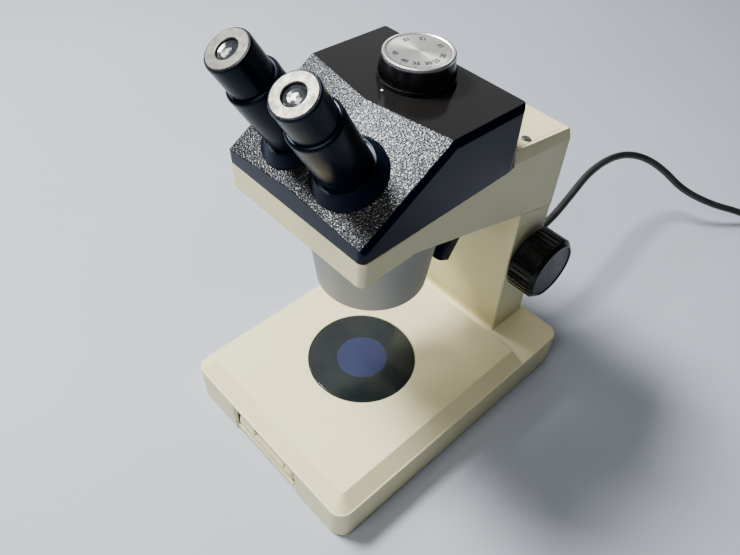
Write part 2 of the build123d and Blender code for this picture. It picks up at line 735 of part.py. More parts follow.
# ---- black top cover ----------------------------------------------------------------------------
def cover_block(inset):
    """The cover's faceted shape: flat top, two facets for the eyepieces and bevelled sides."""
    front_y, back_y = HEAD_FRONT + inset, COVER_BACK - inset
    w, drop = 69.2 - inset, inset * 1.15
    bend_y = OPT_Y + 6.0
    with BuildPart() as block:
        with BuildSketch(Plane.XY.offset(BAND_Z - 2 * (inset > 0))) as outline:
            with Locations((0, (front_y + back_y) / 2)):
                Rectangle(2 * w, back_y - front_y)
            fillet(outline.vertices().group_by(Axis.Y)[0], radius=5.0 - inset)
            fillet(outline.vertices().group_by(Axis.Y)[-1], radius=6.0 - inset * 0.8)
        extrude(amount=70)
        top_tilt = 0.04
        split(
            bisect_by=Plane(origin=(0, ZOOM_Y, TOP_Z - drop), z_dir=(0, top_tilt, 1)), keep=Keep.BOTTOM
        )
        for side in (1, -1):
            face_at = (side * 40, OPT_Y - 30, face_z(40, OPT_Y - 30) - drop)
            split(
                bisect_by=Plane(origin=face_at, z_dir=(side * FACE_FALL, -FACE_SLOPE, 1)), keep=Keep.BOTTOM
            )
            top_edge = (side * (TOP_W - inset), ZOOM_Y, TOP_Z - drop)
            split(bisect_by=Plane(origin=top_edge, z_dir=(side * 5, 3 * top_tilt, 3)), keep=Keep.BOTTOM)
            low_edge = (side * (TOP_W - inset), bend_y, face_z(TOP_W, bend_y) - drop)
            split(
                bisect_by=Plane(origin=low_edge, z_dir=(side * 5, -3 * FACE_SLOPE, 3)), keep=Keep.BOTTOM
            )
    return block.part


def turret_origin(side):
    return (side * TURRET_X, TURRET_Y, face_z(TURRET_X, TURRET_Y))


def turret_axis(side):
    return (side * turret_axis_right.X, turret_axis_right.Y, turret_axis_right.Z)


def turret_plane(side):
    across = (0, turret_axis_right.Z, -turret_axis_right.Y)
    return Plane(origin=turret_origin(side), x_dir=across, z_dir=turret_axis(side))


def tube_plane(side):
    lean = Vector(side * TUBE_SPLAY, -TUBE_LEAN, 1).normalized()
    return Plane(
        origin=(side * TUBE_X, TUBE_Y, face_z(TUBE_X, TUBE_Y)), x_dir=(0, lean.Z, -lean.Y), z_dir=lean
    )


with BuildPart() as top_cover:
    add(cover_block(0))
    add(cover_block(2.5), mode=Mode.SUBTRACT)
    for side in (1, -1):
        with BuildSketch(turret_plane(side).offset(2)):
            Circle(20.4)
        extrude(amount=-12, mode=Mode.SUBTRACT)
    with BuildSketch(Plane.XY.offset(300)):
        with Locations((0, ZOOM_Y)):
            Circle(7.0)
    extrude(amount=40, mode=Mode.SUBTRACT)
save(top_cover, "top_cover")

# ---- nosepiece, objectives and head lamp --------------------------------------------------------
nose_shell = turned(
    (0, NOSE_Y, 0),
    (0, 0, 1),
    [(43.0, NOSE_Z), (45.4, NOSE_Z), (54.8, 252.9), (50.0, 252.9), (42.4, NOSE_Z + 12), (42.4, NOSE_Z + 1)],
)
with BuildPart() as nosepiece:
    add(nose_shell.part)
    with BuildSketch(Plane.YZ.offset(-100)):
        with BuildLine():
            Polyline(
                (OPT_Y - 100, BELLY_Z),
                (OPT_Y - 19.7, BELLY_Z),
                (OPT_Y + 120, seam_z(OPT_Y + 120)),
                (OPT_Y + 120, 300),
                (OPT_Y - 100, 300),
                close=True,
            )
        make_face()
    extrude(amount=200, mode=Mode.SUBTRACT)
nosepiece.part = nosepiece.part.solids().sort_by(SortBy.VOLUME)[-1]
save(nosepiece, "nosepiece")

EYE_X = 12.0  # half the distance between the two light paths
with BuildPart() as objective_mount:
    with BuildSketch(Plane.XY.offset(NOSE_Z + 3)):
        with Locations((0, NOSE_Y)):
            Circle(42.2)
        with Locations((-EYE_X, OPT_Y), (EYE_X, OPT_Y)):
            Circle(10.2, mode=Mode.SUBTRACT)
    extrude(amount=5)
    with BuildSketch(Plane.XY.offset(NOSE_Z + 8)):
        with Locations((-EYE_X, OPT_Y), (EYE_X, OPT_Y)):
            Circle(11.8)
            Circle(10.2, mode=Mode.SUBTRACT)
    extrude(amount=24)
save(objective_mount, "objective_mount")

with BuildPart() as objective_lenses:
    for side in (1, -1):
        lens_plane = Plane(origin=(side * EYE_X, OPT_Y, NOSE_Z + 3), x_dir=(1, 0, 0), z_dir=(0, -1, 0))
        with BuildSketch(lens_plane):
            with BuildLine():
                top_arc = ThreePointArc((0, 7.6), (5.5, 7.1), (10.15, 5.4))
                Polyline(top_arc @ 1, (10.15, 2.2), (0, 1.4), top_arc @ 0)
            make_face()
        revolve(axis=Axis((side * EYE_X, OPT_Y, 0), (0, 0, 1)))
save(objective_lenses, "objective_lenses")

with BuildPart() as lamp_housing:
    with BuildSketch(lamp_plane):
        RectangleRounded(60, 19, 5)
    extrude(amount=78)
    with BuildSketch(lamp_plane):
        RectangleRounded(54, 14, 3)
    extrude(amount=74, mode=Mode.SUBTRACT)
save(lamp_housing, "lamp_housing")

with BuildPart() as lamp_window:
    with BuildSketch(lamp_plane.offset(1.0)):
        RectangleRounded(53.9, 13.9, 2.95)
    extrude(amount=2.2)
save(lamp_window, "lamp_window")

head_bulb = turned(
    lamp_mouth + lamp_down * -22,
    lamp_down * -1,
    [(0, 0), (2.5, 1), (4.5, 5), (4.5, 14), (3.2, 17), (5.8, 17), (5.8, 34), (0, 34)],
)
save(head_bulb, "head_bulb")

# ---- slide parts that ride with the head --------------------------------------------------------
CARRIAGE_Z, CARRIAGE_T = 210.0, 12.0
with BuildPart() as focus_carriage:
    with BuildSketch(Plane.XY.offset(CARRIAGE_Z)):
        with Locations((0, ROD_Y)):
            Rectangle(92, 16)
        with Locations((0, (ROD_Y + 8 + RACK_Y) / 2)):
            Rectangle(16, RACK_Y - ROD_Y - 8)
    extrude(amount=CARRIAGE_T)
    with BuildSketch(Plane.XY.offset(CARRIAGE_Z + 4)):
        for side in (1, -1):
            with Locations((side * 53.5, ROD_Y)):
                Rectangle(17, 16)
    extrude(amount=CARRIAGE_T - 4)
    with BuildSketch(Plane.XY.offset(CARRIAGE_Z - 2)):
        with Locations((-ROD_X, ROD_Y), (ROD_X, ROD_Y)):
            Circle(ROD_R + 0.05)
    extrude(amount=CARRIAGE_T + 4, mode=Mode.SUBTRACT)
save(focus_carriage, "focus_carriage")

with BuildPart() as slide_skirt:
    for grow, low in ((0.0, 156.0), (3.0, 180.0)):
        with BuildPart(mode=Mode.PRIVATE) as sleeve:
            with BuildSketch(Plane.XY.offset(low)):
                with Locations((0, slide_mid)):
                    Rectangle(SLIDE_W + 2 * grow, slide_d)
                    Rectangle(SLIDE_W - 3, slide_d - 3, mode=Mode.SUBTRACT)
            extrude(amount=80)
            add(seam_cutter(4.8, True), mode=Mode.SUBTRACT)
            if grow:
                add(seam_cutter(3.3, False), mode=Mode.SUBTRACT)
        add(sleeve.part)
save(slide_skirt, "slide_skirt")

# ---- zoom ---------------------------------------------------------------------------------------
KNOB_LOW = 329.7
with BuildPart() as zoom_knob:
    with BuildSketch(Plane.XY.offset(KNOB_LOW)):
        with Locations((0, ZOOM_Y)):
            Circle(27.4)
    extrude(amount=2.4)
    for z, radius in ((KNOB_LOW + 2.4, 26.0), (KNOB_LOW + 15.2, 24.7)):
        with BuildSketch(Plane.XY.offset(z)):
            with Locations((0, ZOOM_Y)):
                Circle(radius)
    loft()
    with BuildSketch(Plane.XY.offset(KNOB_LOW + 2.4)):
        with Locations((0, ZOOM_Y)):
            with PolarLocations(25.9, 72):
                Rectangle(1.3, 1.1)
    extrude(amount=12.2, taper=5.5)
    with BuildSketch(Plane.XY.offset(KNOB_LOW + 13)):
        with Locations((0, ZOOM_Y)):
            Circle(22.5)
    extrude(amount=6, mode=Mode.SUBTRACT)
    with BuildSketch(Plane.XY.offset(KNOB_LOW - 1)):
        with Locations((0, ZOOM_Y)):
            Circle(4.0)
    extrude(amount=12, mode=Mode.SUBTRACT)
save(zoom_knob, "zoom_knob")

dial_low = KNOB_LOW + 13
zoom_dial = turned(
    (0, ZOOM_Y, 0),
    (0, 0, 1),
    [
        (0, dial_low),
        (22.4, dial_low),
        (22.4, dial_low + 2.2),
        (24.6, dial_low + 2.2),
        (24.6, dial_low + 4.2),
        (23.9, dial_low + 4.9),
        (22.6, dial_low + 4.9),
        (21.9, dial_low + 4.3),
        (0, dial_low + 4.3),
    ],
)
save(zoom_dial, "zoom_dial")

with BuildPart() as zoom_shaft:
    with BuildSketch(Plane.XY.offset(256)):
        with Locations((0, ZOOM_Y)):
            Circle(4.0)
    extrude(amount=KNOB_LOW + 11 - 256)
save(zoom_shaft, "zoom_shaft")

with BuildPart() as zoom_gear:
    with BuildSketch(Plane(origin=(0, ZOOM_Y, 296))):
        with BuildLine():
            Polyline(*gear_outline(30, GEAR_R, GEAR_R - 1.0), close=True)
        make_face()
        Circle(4.0, mode=Mode.SUBTRACT)
    extrude(amount=6)
save(zoom_gear, "zoom_gear")

with BuildPart() as cam_drum:
    with BuildSketch(Plane(origin=(0, DRUM_Y, BENCH_Z + 5.3))):
        Circle(7.0)
    extrude(amount=296 - BENCH_Z - 5.3)
    with BuildSketch(Plane(origin=(0, DRUM_Y, 296))):
        with BuildLine():
            Polyline(*gear_outline(30, GEAR_R, GEAR_R - 1.0), close=True)
        make_face()
    extrude(amount=6)
save(cam_drum, "cam_drum")

with BuildPart() as optics_bench:
    with BuildSketch(Plane.XY.offset(BENCH_Z)):
        with Locations((0, NOSE_Y)):
            Circle(42.0)
        with Locations((-EYE_X, OPT_Y), (EYE_X, OPT_Y)):
            Circle(9.5, mode=Mode.SUBTRACT)
    extrude(amount=5)
    with BuildSketch(Plane.XY.offset(BENCH_TOP)):
        with Locations((0, OPT_Y + 16)):
            Rectangle(70, 80)
        with Locations((-EYE_X, OPT_Y), (EYE_X, OPT_Y)):
            Circle(9.5, mode=Mode.SUBTRACT)
        with Locations((0, DRUM_Y)):
            Circle(7.05, mode=Mode.SUBTRACT)
        with Locations((0, ZOOM_Y)):
            Circle(4.04, mode=Mode.SUBTRACT)
        with Locations((-48, OPT_Y + 16), (48, OPT_Y + 16)):
            Rectangle(33.2, 14)
    extrude(amount=5)
    with BuildSketch(Plane.XY.offset(BENCH_Z + 4)):
        with Locations((-32, OPT_Y + 12), (32, OPT_Y + 12)):
            Rectangle(4, 30)
        with Locations((-25, OPT_Y), (25, OPT_Y)):
            Circle(2.0)
    extrude(amount=BENCH_TOP - BENCH_Z - 3)
save(optics_bench, "optics_bench")

CARRIER_Z = 228.0
with BuildPart() as zoom_carrier:
    with BuildSketch(Plane.XY.offset(CARRIER_Z)):
        with Locations((0, OPT_Y)):
            SlotOverall(58, 21)
        with Locations((-EYE_X, OPT_Y), (EYE_X, OPT_Y)):
            Circle(8.5, mode=Mode.SUBTRACT)
        with Locations((-25, OPT_Y), (25, OPT_Y)):
            Circle(2.05, mode=Mode.SUBTRACT)
        with Locations((0, DRUM_Y)):
            Circle(7.5, mode=Mode.SUBTRACT)
    extrude(amount=5)
save(zoom_carrier, "zoom_carrier")

with BuildPart() as zoom_lenses:
    with BuildSketch(Plane.XY.offset(CARRIER_Z + 0.8)):
        with Locations((-EYE_X, OPT_Y), (EYE_X, OPT_Y)):
            Circle(8.48)
    extrude(amount=3.4)
save(zoom_lenses, "zoom_lenses")

# ---- eyepieces ----------------------------------------------------------------------------------
for side, tag in ((1, "right"), (-1, "left")):
    plane, stand = turret_plane(side), tube_plane(side)
    axis, tube_foot = stand.z_dir, stand.origin
    with BuildPart() as turret:
        for low, high, radius in ((-9.0, 0.3, 20.2), (0.3, 1.4, 26.2)):
            with BuildSketch(plane.offset(low)):
                Circle(radius)
            extrude(amount=high - low)
        with BuildSketch(plane.offset(1.4)):
            Circle(26.2)
        with BuildSketch(stand.offset(TUBE_FOOT + 1.6)):
            Circle(20.6)
        loft()
        with BuildSketch(stand.offset(TUBE_FOOT)):
            Circle(19.9)
        extrude(amount=4, mode=Mode.SUBTRACT)
        with BuildSketch(plane.offset(-10)):
            Circle(14.0)
        extrude(amount=22, mode=Mode.SUBTRACT)
    save(turret, f"turret_{tag}")

    eyepiece_tube = turned(
        tube_foot,
        axis,
        [
            (15.04, 10.0),
            (15.04, TUBE_TOP),
            (16.3, TUBE_TOP),
            (17.2, TUBE_TOP - 0.3),
            (17.9, TUBE_TOP - 0.9),
            (18.3, TUBE_TOP - 1.8),
            (TUBE_R, TUBE_TOP - 2.8),
            (TUBE_R, TUBE_FOOT),
            (12.5, TUBE_FOOT),
            (12.5, 10.0),
        ],
    )
    save(eyepiece_tube, f"eyepiece_tube_{tag}")

    with BuildPart() as prism:
        with BuildSketch(plane.offset(-33)):
            Rectangle(26, 30)
        extrude(amount=23.8)
    save(prism, f"prism_{tag}")

    eyepiece = turned(
        tube_foot,
        axis,
        [
            (11.0, 22.0),
            (15.0, 22.0),
            (15.0, TUBE_TOP + 0.4),
            (15.4, TUBE_TOP + 0.4),
            (15.6, TUBE_TOP + 0.8),
            (15.55, EYE_TOP - 2.2),
            (15.3, EYE_TOP - 1.2),
            (14.9, EYE_TOP - 0.6),
            (14.4, EYE_TOP - 0.5),
            (14.4, EYE_TOP - 4.0),
            (11.0, EYE_TOP - 4.0),
        ],
    )
    save(eyepiece, f"eyepiece_{tag}")

    eye_ring = turned(
        tube_foot,
        axis,
        [
            (8.8, EYE_TOP - 4.0),
            (14.38, EYE_TOP - 4.0),
            (14.38, EYE_TOP - 0.5),
            (14.2, EYE_TOP - 0.15),
            (13.8, EYE_TOP),
            (7.9, EYE_TOP),
            (7.35, EYE_TOP - 0.2),
            (6.95, EYE_TOP - 0.6),
            (6.8, EYE_TOP - 1.2),
            (6.8, EYE_TOP - 1.8),
            (8.8, EYE_TOP - 1.8),
        ],
    )
    save(eye_ring, f"eye_ring_{tag}")

    eye_lens = turned(
        tube_foot,
        axis,
        [
            (0, EYE_TOP - 8.0),
            (8.7, EYE_TOP - 8.0),
            (8.7, EYE_TOP - 1.9),
            (6.7, EYE_TOP - 1.9),
            (6.7, EYE_TOP - 1.4),
            (4.6, EYE_TOP - 1.9),
            (2.3, EYE_TOP - 2.2),
            (0, EYE_TOP - 2.3),
        ],
    )
    save(eye_lens, f"eye_lens_{tag}")

# ---- power cord ---------------------------------------------------------------------------------
strain_relief = turned(
    RELIEF_START,
    relief_dir,
    [
        (0, -8.0),
        (5.9, -8.0),
        (5.9, 3.4),
        (8.8, 3.4),
        (8.8, 5.4),
        (7.3, 6.4),
        (4.9, RELIEF_L),
        (0, RELIEF_L),
    ],
)
save(strain_relief, "strain_relief")


def coil_point(angle, radius, z):
    return (COIL_X + radius * cos(radians(angle)), COIL_Y + radius * sin(radians(angle)), z)


coil_entry = coil_point(ENTRY_DEG, COIL_OUT, CORD_R)
ROUTE = [
    tuple(relief_end),
    FIRST_BEND,
    (22.6, 244.4, 106.4),
    (13.1, 291.6, 108.4),
    (10.3, 334.2, 104.3),
    (14.4, 369.3, 97.6),
    (27.6, 397.0, 86.3),
    (47.6, 413.9, 71.6),
    (73.8, 427.0, 49.9),
    (105.1, 452.8, 32.6),
    (133.9, 486.7, 19.2),
    (164.0, 506.0, 5.6),
    coil_entry,
]


def route_radii(points):
    """Bend radius at each inner point: 0.45 of the shorter run over the tangent of half the turn."""
    radii = []
    for before, here, after in zip(points, points[1:], points[2:]):
        run_in, run_out = Vector(*here) - Vector(*before), Vector(*after) - Vector(*here)
        shorter = min(run_in.length, run_out.length)
        radii.append(0.45 * shorter / tan(radians(run_in.get_angle(run_out)) / 2))
    return radii


radii = route_radii(ROUTE)
print("cord bend radii", [round(radius) for radius in radii])
tail_start = Vector(*coil_point(EXIT_DEG, COIL_OUT, 12.05))
tail_dir = Vector(sin(radians(EXIT_DEG)), -cos(radians(EXIT_DEG)), 0)
TAIL_L, TAIL_CLEAR = 36.0, 17.0  # free end of the cord, and where it leaves the coil
with BuildPart() as cord_run:
    with BuildLine() as route:
        FilletPolyline(*ROUTE, radius=radii)
    path = route.wires()[0]
    with BuildSketch(Plane(origin=path @ 0, z_dir=path % 0)):
        Circle(CORD_R)
    sweep(path=path)
    with BuildSketch(Plane(origin=tail_start + tail_dir * TAIL_CLEAR, z_dir=tail_dir)):
        Circle(CORD_R)
    extrude(amount=TAIL_L - TAIL_CLEAR)
print("cord run", round(path.length), "mm")
tube_volume = (path.length + TAIL_L - TAIL_CLEAR) * pi * CORD_R**2
print("volume over section times length", cord_run.part.volume / tube_volume)
save(cord_run, "cord_run")

cord_coil = turned(
    (COIL_X, COIL_Y, 0),
    (0, 0, 1),
    [
        (COIL_IN - CORD_R, 1.0),
        (COIL_IN - CORD_R + 1, 0),
        (COIL_OUT + CORD_R - 1, 0),
        (COIL_OUT + CORD_R, 1.0),
        (COIL_OUT + CORD_R, 4 * CORD_R - 1),
        (COIL_OUT + CORD_R - 1, 4 * CORD_R),
        (COIL_IN - CORD_R + 1, 4 * CORD_R),
        (COIL_IN - CORD_R, 4 * CORD_R - 1),
    ],
)
save(cord_coil, "cord_coil")

plug_start = tail_start + tail_dir * TAIL_L
plug_plane = Plane(origin=plug_start, x_dir=(tail_dir.Y, -tail_dir.X, 0), z_dir=tail_dir)
with BuildPart() as plug_body:
    for height, size in ((0, 5.2), (20, 7.4)):
        with BuildSketch(plug_plane.offset(height)):
            Circle(size)
    loft()
    for height, width, depth, corner in ((20, 22, 18, 8.0), (26, 26, 22, 9.5), (46, 28, 24, 10.0)):
        with BuildSketch(plug_plane.offset(height)):
            RectangleRounded(width, depth, corner)
    loft(ruled=True)
save(plug_body, "plug_body")

with BuildPart() as plug_pins:
    with BuildSketch(plug_plane.offset(46)):
        with Locations((-6.35, 2.5), (6.35, 2.5)):
            Rectangle(1.5, 6.3)
        with Locations((0, -5.5)):
            Circle(2.4)
    extrude(amount=17)
save(plug_pins, "plug_pins")
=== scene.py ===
"""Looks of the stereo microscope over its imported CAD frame: materials, pieces, cord, light, camera.

Metres, in the frame of the CAD model. The user sits at -Y and the viewing axis is at (0, OPT_Y).
"""

import bmesh
import bpy
import json
from math import cos, pi, radians, sin
from mathutils import Matrix, Vector


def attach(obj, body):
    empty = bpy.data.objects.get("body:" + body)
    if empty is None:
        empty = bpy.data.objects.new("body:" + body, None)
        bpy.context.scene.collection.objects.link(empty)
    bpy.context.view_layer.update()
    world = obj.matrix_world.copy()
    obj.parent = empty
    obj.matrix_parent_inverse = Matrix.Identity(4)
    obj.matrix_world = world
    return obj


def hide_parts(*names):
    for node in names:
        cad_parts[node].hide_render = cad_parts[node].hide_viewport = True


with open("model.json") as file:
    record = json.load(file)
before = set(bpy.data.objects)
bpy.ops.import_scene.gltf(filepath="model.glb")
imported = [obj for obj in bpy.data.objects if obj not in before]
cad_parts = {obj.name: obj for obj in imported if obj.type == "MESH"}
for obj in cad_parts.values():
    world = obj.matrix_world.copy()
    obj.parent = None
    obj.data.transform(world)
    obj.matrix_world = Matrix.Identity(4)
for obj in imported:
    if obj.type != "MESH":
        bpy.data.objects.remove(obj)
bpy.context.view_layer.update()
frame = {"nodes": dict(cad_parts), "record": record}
nodes = frame["nodes"]

OPT_Y = -0.0283  # the viewing axis
ZOOM_Y = OPT_Y + 0.0416  # the zoom knob's axis
CORD_D = 0.0082
RELIEF_LENGTH = 0.038
coll = bpy.context.scene.collection


# ---- materials ----------------------------------------------------------------------------------
class Finish:
    """One procedural material: a principled shader with helpers that add its detail."""

    def __init__(self, name, color, rough, metal=0.0, **sockets):
        self.mat = bpy.data.materials.new(name)
        self.mat.use_nodes = True
        self.mat.diffuse_color = (*color[:3], 1)
        self.tree = self.mat.node_tree
        self.shader = self.tree.nodes["Principled BSDF"]
        self.shader.inputs["Base Color"].default_value = (*color[:3], 1)
        self.shader.inputs["Roughness"].default_value = rough
        self.shader.inputs["Metallic"].default_value = metal
        for key, value in sockets.items():
            self.shader.inputs[key.replace("_", " ")].default_value = value
        self.color, self.rough, self.normal = color, rough, None
        self.coord = self.node("ShaderNodeTexCoord").outputs["Object"]

    def node(self, kind, **settings):
        made = self.tree.nodes.new(kind)
        for key, value in settings.items():
            setattr(made, key, value)
        return made

    def link(self, a, b):
        self.tree.links.new(a, b)

    def noise(self, scale, detail=2.0, roughness=0.5, stretch=None):
        made = self.node("ShaderNodeTexNoise")
        made.inputs["Scale"].default_value = scale
        made.inputs["Detail"].default_value = detail
        made.inputs["Roughness"].default_value = roughness
        source = self.coord
        if stretch:
            mapping = self.node("ShaderNodeMapping")
            mapping.inputs["Scale"].default_value = stretch
            self.link(source, mapping.inputs["Vector"])
            source = mapping.outputs["Vector"]
        self.link(source, made.inputs["Vector"])
        return made.outputs["Fac"]

    def remap(self, value, low, high, to_low, to_high):
        made = self.node("ShaderNodeMapRange")
        made.inputs["From Min"].default_value = low
        made.inputs["From Max"].default_value = high
        made.inputs["To Min"].default_value = to_low
        made.inputs["To Max"].default_value = to_high
        self.link(value, made.inputs["Value"])
        return made.outputs["Result"]

    def mix(self, factor, a, b):
        made = self.node("ShaderNodeMix", data_type="RGBA")
        self.link(factor, made.inputs["Factor"])
        for socket, value in ((made.inputs["A"], a), (made.inputs["B"], b)):
            if isinstance(value, tuple):
                socket.default_value = (*value[:3], 1)
            else:
                self.link(value, socket)
        return made.outputs["Result"]

    def soften(self, radius):
        """Rounds the sharp CAD edges in the shading, as a moulded or machined edge is."""
        made = self.node("ShaderNodeBevel", samples=4)
        made.inputs["Radius"].default_value = radius
        self.edge = made.outputs["Normal"]
        self.normal = self.edge
        self.link(self.normal, self.shader.inputs["Normal"])
        return self

    def bump(self, height, distance, strength=1.0):
        made = self.node("ShaderNodeBump")
        made.inputs["Distance"].default_value = distance
        made.inputs["Strength"].default_value = strength
        self.link(height, made.inputs["Height"])
        if self.normal:
            self.link(self.normal, made.inputs["Normal"])
        self.normal = made.outputs["Normal"]
        self.link(self.normal, self.shader.inputs["Normal"])
        return self

    def tint(self, scale, darker, lighter, low=0.35, high=0.65, detail=3.0):
        """Slow colour variation between two colours."""
        factor = self.remap(self.noise(scale, detail), low, high, 0.0, 1.0)
        self.base = self.mix(factor, darker, lighter)
        self.link(self.base, self.shader.inputs["Base Color"])
        return self

    def smudge(self, scale, low, high, detail=4.0):
        """Uneven gloss from handling."""
        value = self.remap(self.noise(scale, detail, 0.6), 0.35, 0.68, low, high)
        self.link(value, self.shader.inputs["Roughness"])
        return self

    def edge_wear_and_highlight(self, color, radius, amount):
        """Edges turned towards another colour, patchily: rubbed wear on the dark finishes, a painted
        highlight along the cream edges.
        """
        bevel = self.node("ShaderNodeBevel", samples=4)
        bevel.inputs["Radius"].default_value = radius
        geometry = self.node("ShaderNodeNewGeometry")
        dot = self.node("ShaderNodeVectorMath", operation="DOT_PRODUCT")
        self.link(bevel.outputs["Normal"], dot.inputs[0])
        self.link(geometry.outputs["Normal"], dot.inputs[1])
        edge = self.remap(dot.outputs["Value"], 0.995, 0.90, 0.0, amount)
        patch = self.remap(self.noise(160, 5.0, 0.7), 0.42, 0.6, 0.1, 1.0)
        both = self.node("ShaderNodeMath", operation="MULTIPLY", use_clamp=True)
        self.link(edge, both.inputs[0])
        self.link(patch, both.inputs[1])
        self.base = self.mix(both.outputs["Value"], getattr(self, "base", self.color), color)
        self.link(self.base, self.shader.inputs["Base Color"])
        return self


CREAM = (0.76, 0.71, 0.43)
cream = Finish("cream_paint", CREAM, 0.50)
cream.tint(9, (0.740, 0.690, 0.410), (0.775, 0.725, 0.450)).smudge(22, 0.44, 0.60)
# The lighter cream given to the edges is a painted highlight along the bevels.
cream.edge_wear_and_highlight((0.84, 0.82, 0.68), 0.0009, 0.7).soften(0.0009)
cream.bump(cream.noise(2600, 3.0, 0.6), 0.00006, 0.55)
cream.shader.inputs["Specular IOR Level"].default_value = 0.35

# This grey is darker than the plastic's own tone: painted shade from the head above the nosepiece.
grey = Finish("nosepiece_grey_darkened_as_shade", (0.30, 0.305, 0.28), 0.42)
grey.tint(12, (0.285, 0.293, 0.268), (0.315, 0.32, 0.295)).smudge(30, 0.36, 0.48)
grey.soften(0.0007).bump(grey.noise(3200, 2.0), 0.00003, 0.4)

# The navy in this black and the blue specular tint are a painted reflection of a blue surround.
gloss = Finish("gloss_black", (0.002, 0.003, 0.010), 0.16)
gloss.shader.inputs["Specular IOR Level"].default_value = 0.12
gloss.shader.inputs["Specular Tint"].default_value = (0.62, 0.79, 1.0, 1)
gloss.tint(30, (0.0015, 0.0025, 0.008), (0.003, 0.005, 0.014)).smudge(60, 0.20, 0.32)
gloss.edge_wear_and_highlight((0.06, 0.06, 0.065), 0.0003, 0.4).soften(0.0005).bump(gloss.noise(260, 2.0), 0.00002, 0.2)

# The navy in this black and the blue specular tint are a painted reflection of a blue surround.
satin = Finish("satin_black", (0.004, 0.006, 0.014), 0.30)
satin.shader.inputs["Specular IOR Level"].default_value = 0.12
satin.shader.inputs["Specular Tint"].default_value = (0.62, 0.79, 1.0, 1)
satin.tint(40, (0.003, 0.005, 0.012), (0.007, 0.009, 0.018)).smudge(80, 0.24, 0.38)
satin.edge_wear_and_highlight((0.05, 0.05, 0.055), 0.0004, 0.4).soften(0.0004).bump(satin.noise(2200, 2.0), 0.00003, 0.4)

ribbed = Finish("ribbed_black", (0.004, 0.004, 0.005), 0.24)
ribbed.shader.inputs["Specular IOR Level"].default_value = 0.20
ribbed.tint(50, (0.003, 0.003, 0.004), (0.007, 0.007, 0.008)).smudge(90, 0.18, 0.34)
ribbed.edge_wear_and_highlight((0.045, 0.045, 0.045), 0.0003, 0.4).soften(0.0003).bump(ribbed.noise(1500, 2.0), 0.00002, 0.3)


def cover_paint():
    """The top cover: sparkling hammered facets for the eyepieces, the rest smooth black, with a painted
    reflection: navy on the sloping and upright faces, neutral on the level top.
    """
    paint = Finish("cover_black", (0.01, 0.01, 0.012), 0.3)
    paint.shader.inputs["Specular IOR Level"].default_value = 0.15
    # The blue specular tint is a painted reflection of a blue surround.
    paint.shader.inputs["Specular Tint"].default_value = (0.62, 0.79, 1.0, 1)
    geometry = paint.node("ShaderNodeNewGeometry")
    split = paint.node("ShaderNodeSeparateXYZ")
    paint.link(geometry.outputs["True Normal"], split.inputs[0])
    up, out = split.outputs["Z"], split.outputs["Y"]
    leaning = paint.remap(out, -0.30, -0.34, 0.0, 1.0)
    tilted = paint.remap(up, 0.74, 0.78, 0.0, 1.0)
    facet = paint.node("ShaderNodeMath", operation="MULTIPLY")
    paint.link(leaning, facet.inputs[0])
    paint.link(tilted, facet.inputs[1])
    level = paint.remap(up, 0.97, 0.99, 0.0, 1.0)
    grain = paint.noise(880, 1.0, 0.5)
    fleck = paint.remap(grain, 0.44, 0.62, 0.0, 1.0)
    metal = paint.mix(fleck, (0.004, 0.004, 0.005), (0.062, 0.062, 0.064))
    # Painted reflection: navy where the faces slope or stand upright, neutral black on the level top.
    smooth = paint.mix(level, (0.0008, 0.0020, 0.010), (0.0075, 0.0072, 0.0072))
    paint.link(paint.mix(facet.outputs[0], smooth, metal), paint.shader.inputs["Base Color"])
    rough = paint.mix(level, (0.18, 0.18, 0.18), (0.13, 0.13, 0.13))
    rough = paint.mix(facet.outputs[0], rough, (0.24, 0.24, 0.24))
    paint.link(rough, paint.shader.inputs["Roughness"])
    glitter = paint.node("ShaderNodeMath", operation="MULTIPLY")
    paint.link(fleck, glitter.inputs[0])
    paint.link(facet.outputs[0], glitter.inputs[1])
    paint.link(glitter.outputs[0], paint.shader.inputs["Metallic"])
    paint.soften(0.0012)
    depth = paint.node("ShaderNodeMath", operation="MULTIPLY")
    paint.link(grain, depth.inputs[0])
    paint.link(facet.outputs[0], depth.inputs[1])
    return paint.bump(depth.outputs[0], 0.00034, 1.0)


def turned_metal(name, color, centre, rough=0.28, rings=5200):
    """Bare metal with the fine circular marks of turning about a vertical axis."""
    metal = Finish(name, color, rough, 1.0, Anisotropic=0.75)
    shift = metal.node("ShaderNodeVectorMath", operation="SUBTRACT")
    shift.inputs[1].default_value = centre
    flat = metal.node("ShaderNodeVectorMath", operation="MULTIPLY")
    flat.inputs[1].default_value = (1, 1, 0)
    size = metal.node("ShaderNodeVectorMath", operation="LENGTH")
    metal.link(metal.coord, shift.inputs[0])
    metal.link(shift.outputs[0], flat.inputs[0])
    metal.link(flat.outputs[0], size.inputs[0])
    rings_noise = metal.node("ShaderNodeTexNoise", noise_dimensions="1D")
    rings_noise.inputs["Scale"].default_value = rings
    metal.link(size.outputs["Value"], rings_noise.inputs["W"])
    tangent = metal.node("ShaderNodeTangent", direction_type="RADIAL", axis="Z")
    metal.link(tangent.outputs[0], metal.shader.inputs["Tangent"])
    rough_map = metal.remap(rings_noise.outputs["Fac"], 0.3, 0.7, rough - 0.06, rough + 0.08)
    metal.link(rough_map, metal.shader.inputs["Roughness"])
    metal.soften(0.0004)
    return metal.bump(rings_noise.outputs["Fac"], 0.00002, 0.5)


# The colour is kept far darker than bare aluminium: painted shade standing for the dark room the rings
# reflect.
ring_metal = Finish("satin_aluminium", (0.066, 0.066, 0.058), 0.36, 1.0)
ring_metal.tint(240, (0.050, 0.050, 0.044), (0.082, 0.082, 0.072)).smudge(300, 0.30, 0.44)
ring_metal.soften(0.0004).bump(ring_metal.noise(5000, 2.0), 0.00001, 0.3)

